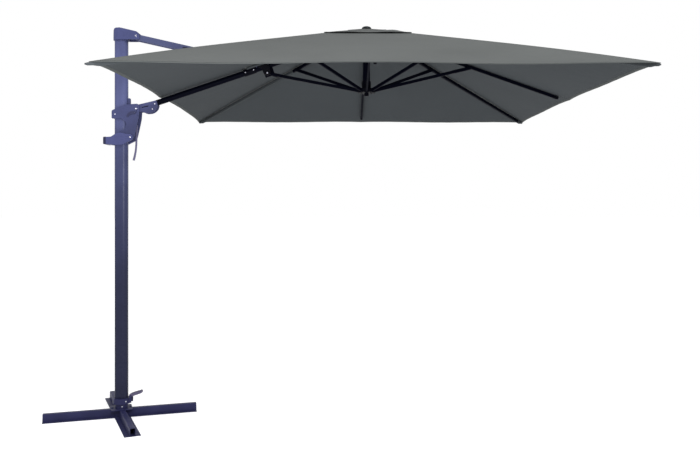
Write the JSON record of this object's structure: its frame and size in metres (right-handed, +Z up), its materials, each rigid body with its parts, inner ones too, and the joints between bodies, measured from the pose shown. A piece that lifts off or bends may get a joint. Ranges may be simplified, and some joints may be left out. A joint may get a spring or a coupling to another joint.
{
  "type": "cantilever parasol",
  "caption": "Square side-pole parasol on a cross base: a sliding carriage swings the beam and folds the ribbed canopy.",
  "frame": {"origin": "on the ground, under the mast's axis, at the underside of the crossed legs", "axes": "+Z up the mast, +X from the mast towards the canopy, +Y to the far side"},
  "size_m": [3.7944, 3, 2.815],
  "materials": {
    "frame_paint": "satin powder coat",
    "dark_paint": "satin powder coat",
    "base_paint": "matt powder coat",
    "steel": "bright",
    "moulding": "fine grain",
    "dark_moulding": "fine grain",
    "cloth": "plain weave",
    "webbing": "woven tape"
  },
  "bodies": {
    "base": {"leg_through": "base_paint", "leg_rear": "base_paint", "leg_front": "base_paint", "base_plate": "base_paint", "foot_socket": "base_paint"},
    "mast": {"turn_collar": "base_paint", "mast": "frame_paint", "pedal_pin": "steel", "head_housing": "moulding", "head_pin": "steel"},
    "pedal": {"foot_pedal": "moulding"},
    "strut": {"strut_bar_near": "frame_paint", "strut_bar_far": "frame_paint", "strut_pin": "steel"},
    "beam": {"beam": "dark_paint", "arm_cheek_near": "moulding", "arm_cheek_far": "moulding", "beam_sleeve": "dark_moulding", "beam_saddle": "dark_paint", "end_tongue": "dark_paint", "cloth_left": "cloth"},
    "carriage": {"carriage_sleeve": "moulding", "side_plate_near": "moulding", "side_plate_far": "moulding", "carriage_pin": "steel", "grip_pin": "steel", "lever_pin": "steel", "tie_strap": "webbing"},
    "grip": {"grip": "moulding"},
    "lever": {"lock_lever": "dark_moulding"},
    "hub": {"crown_hub": "dark_moulding", "hub_pin": "steel", "finial_cap": "moulding", "vent_top": "cloth"},
    "runner": {"runner": "dark_moulding", "centre_pole": "dark_paint"},
    "tie": {"beam_tie": "dark_paint"},
    "rib_right": {"rib_right": "dark_paint", "cloth_right": "cloth"},
    "stretcher_right": {"stretcher_right": "dark_paint"},
    "rib_far_right": {"rib_far_right": "dark_paint", "cloth_far_right": "cloth"},
    "stretcher_far_right": {"stretcher_far_right": "dark_paint"},
    "rib_far": {"rib_far": "dark_paint", "cloth_far": "cloth"},
    "stretcher_far": {"stretcher_far": "dark_paint"},
    "rib_far_left": {"rib_far_left": "dark_paint", "cloth_far_left": "cloth"},
    "stretcher_far_left": {"stretcher_far_left": "dark_paint"},
    "rib_near_left": {"rib_near_left": "dark_paint", "cloth_near_left": "cloth"},
    "stretcher_near_left": {"stretcher_near_left": "dark_paint"},
    "rib_near": {"rib_near": "dark_paint", "cloth_near": "cloth"},
    "stretcher_near": {"stretcher_near": "dark_paint"},
    "rib_near_right": {"rib_near_right": "dark_paint", "cloth_near_right": "cloth"},
    "stretcher_near_right": {"stretcher_near_right": "dark_paint"}
  },
  "joints": [
    {"name": "mast_turn", "type": "hinge", "parent": "base", "child": "mast", "pos_m": [0, 0, 0], "axis": [0, 0, 1], "continuous": true},
    {"name": "pedal_press", "type": "hinge", "parent": "mast", "child": "pedal", "pos_m": [0.069, 0, 0.143], "axis": [0, 1, 0], "range_deg": [0, 12], "stiffness_Nm_per_rad": 4, "springref_deg": -11.46},
    {"name": "canopy_fold", "type": "hinge", "parent": "mast", "child": "strut", "pos_m": [0.116, 0, 2.734], "axis": [0, 1, 0], "range_deg": [0, 66.5]},
    {"name": "strut_end", "type": "hinge", "parent": "strut", "child": "beam", "pos_m": [1.0555, 0, 2.473], "axis": [0, 1, 0], "range_deg": [-133.01, 0.01], "deforming": ["cloth_left"]},
    {"name": "beam_foot", "type": "hinge", "parent": "beam", "child": "carriage", "pos_m": [0.116, 0, 2.212], "axis": [0, 1, 0], "range_deg": [-0.01, 66.51]},
    {"name": "beam_head", "type": "hinge", "parent": "beam", "child": "hub", "pos_m": [1.74, 0, 2.62], "axis": [0, 1, 0], "range_deg": [-0.01, 66.51], "deforming": ["vent_top"]},
    {"name": "grip_lift", "type": "hinge", "parent": "carriage", "child": "grip", "pos_m": [0.0762, 0, 2.0072], "axis": [0, 1, 0], "range_deg": [0, 12]},
    {"name": "lock_lever", "type": "hinge", "parent": "carriage", "child": "lever", "pos_m": [0.107, -0.0487, 2.185], "axis": [0, -1, 0], "range_deg": [0, 20]},
    {"name": "rib_right_fold", "type": "hinge", "parent": "hub", "child": "rib_right", "pos_m": [1.82, 0, 2.684], "axis": [0, 1, 0], "range_deg": [-0.01, 66.54], "deforming": ["cloth_right"]},
    {"name": "rib_far_right_fold", "type": "hinge", "parent": "hub", "child": "rib_far_right", "pos_m": [1.80536, 0.03535, 2.684], "axis": [-0.7071, 0.7071, 0], "range_deg": [-0.01, 70.46], "deforming": ["cloth_far_right"]},
    {"name": "rib_far_fold", "type": "hinge", "parent": "hub", "child": "rib_far", "pos_m": [1.77, 0.05, 2.684], "axis": [-1, 0, 0], "range_deg": [-0.01, 66.54], "deforming": ["cloth_far"]},
    {"name": "rib_far_left_fold", "type": "hinge", "parent": "hub", "child": "rib_far_left", "pos_m": [1.73464, 0.03535, 2.684], "axis": [-0.7071, -0.7071, 0], "range_deg": [-0.01, 70.46], "deforming": ["cloth_far_left"]},
    {"name": "rib_near_left_fold", "type": "hinge", "parent": "hub", "child": "rib_near_left", "pos_m": [1.73464, -0.03535, 2.684], "axis": [0.7071, -0.7071, 0], "range_deg": [-0.01, 70.46], "deforming": ["cloth_near_left"]},
    {"name": "rib_near_fold", "type": "hinge", "parent": "hub", "child": "rib_near", "pos_m": [1.77, -0.05, 2.684], "axis": [1, 0, 0], "range_deg": [-0.01, 66.54], "deforming": ["cloth_near"]},
    {"name": "rib_near_right_fold", "type": "hinge", "parent": "hub", "child": "rib_near_right", "pos_m": [1.80536, -0.03535, 2.684], "axis": [0.7071, 0.7071, 0], "range_deg": [-0.01, 70.46], "deforming": ["cloth_near_right"]},
    {"name": "stretcher_right_swing", "type": "hinge", "parent": "rib_right", "child": "stretcher_right", "pos_m": [2.5214, 0, 2.516], "axis": [0, 1, 0], "range_deg": [-133.07, 0.01]},
    {"name": "runner_hold", "type": "hinge", "parent": "stretcher_right", "child": "runner", "pos_m": [1.82, 0, 2.348], "axis": [0, 1, 0], "range_deg": [-0.01, 66.54]},
    {"name": "stretcher_far_right_swing", "type": "hinge", "parent": "runner", "child": "stretcher_far_right", "pos_m": [1.80536, 0.03535, 2.348], "axis": [-0.7071, 0.7071, 0], "range_deg": [-59.34, 0.01]},
    {"name": "stretcher_far_swing", "type": "hinge", "parent": "runner", "child": "stretcher_far", "pos_m": [1.77, 0.05, 2.348], "axis": [-1, 0, 0], "range_deg": [-66.54, 0.01]},
    {"name": "stretcher_far_left_swing", "type": "hinge", "parent": "runner", "child": "stretcher_far_left", "pos_m": [1.73464, 0.03535, 2.348], "axis": [-0.7071, -0.7071, 0], "range_deg": [-59.34, 0.01]},
    {"name": "stretcher_near_left_swing", "type": "hinge", "parent": "runner", "child": "stretcher_near_left", "pos_m": [1.73464, -0.03535, 2.348], "axis": [0.7071, -0.7071, 0], "range_deg": [-59.34, 0.01]},
    {"name": "stretcher_near_swing", "type": "hinge", "parent": "runner", "child": "stretcher_near", "pos_m": [1.77, -0.05, 2.348], "axis": [1, 0, 0], "range_deg": [-66.54, 0.01]},
    {"name": "stretcher_near_right_swing", "type": "hinge", "parent": "runner", "child": "stretcher_near_right", "pos_m": [1.80536, -0.03535, 2.348], "axis": [0.7071, 0.7071, 0], "range_deg": [-59.34, 0.01]},
    {"name": "tie_swing", "type": "hinge", "parent": "runner", "child": "tie", "pos_m": [1.72, 0, 2.348], "axis": [0, -1, 0], "range_deg": [-69.36, 0.01]}
  ],
  "couplings": [
    {"joint": "strut_end", "follows": "canopy_fold", "ratio": -2},
    {"joint": "beam_foot", "follows": "canopy_fold", "ratio": 1},
    {"joint": "beam_head", "follows": "canopy_fold", "ratio": 1},
    {"joint": "rib_right_fold", "follows": "canopy_fold", "ratio": 1.0005},
    {"joint": "rib_far_right_fold", "follows": "canopy_fold", "ratio": 1.0593},
    {"joint": "rib_far_fold", "follows": "canopy_fold", "ratio": 1.0005},
    {"joint": "rib_far_left_fold", "follows": "canopy_fold", "ratio": 1.0593},
    {"joint": "rib_near_left_fold", "follows": "canopy_fold", "ratio": 1.0593},
    {"joint": "rib_near_fold", "follows": "canopy_fold", "ratio": 1.0005},
    {"joint": "rib_near_right_fold", "follows": "canopy_fold", "ratio": 1.0593},
    {"joint": "stretcher_right_swing", "follows": "canopy_fold", "ratio": -2.0009},
    {"joint": "runner_hold", "follows": "canopy_fold", "ratio": 1.0005},
    {"joint": "stretcher_far_right_swing", "follows": "canopy_fold", "ratio": -0.89213},
    {"joint": "stretcher_far_swing", "follows": "canopy_fold", "ratio": -1.0005},
    {"joint": "stretcher_far_left_swing", "follows": "canopy_fold", "ratio": -0.89213},
    {"joint": "stretcher_near_left_swing", "follows": "canopy_fold", "ratio": -0.89213},
    {"joint": "stretcher_near_swing", "follows": "canopy_fold", "ratio": -1.0005},
    {"joint": "stretcher_near_right_swing", "follows": "canopy_fold", "ratio": -0.89213},
    {"joint": "tie_swing", "follows": "canopy_fold", "ratio": -1.0429}
  ]
}
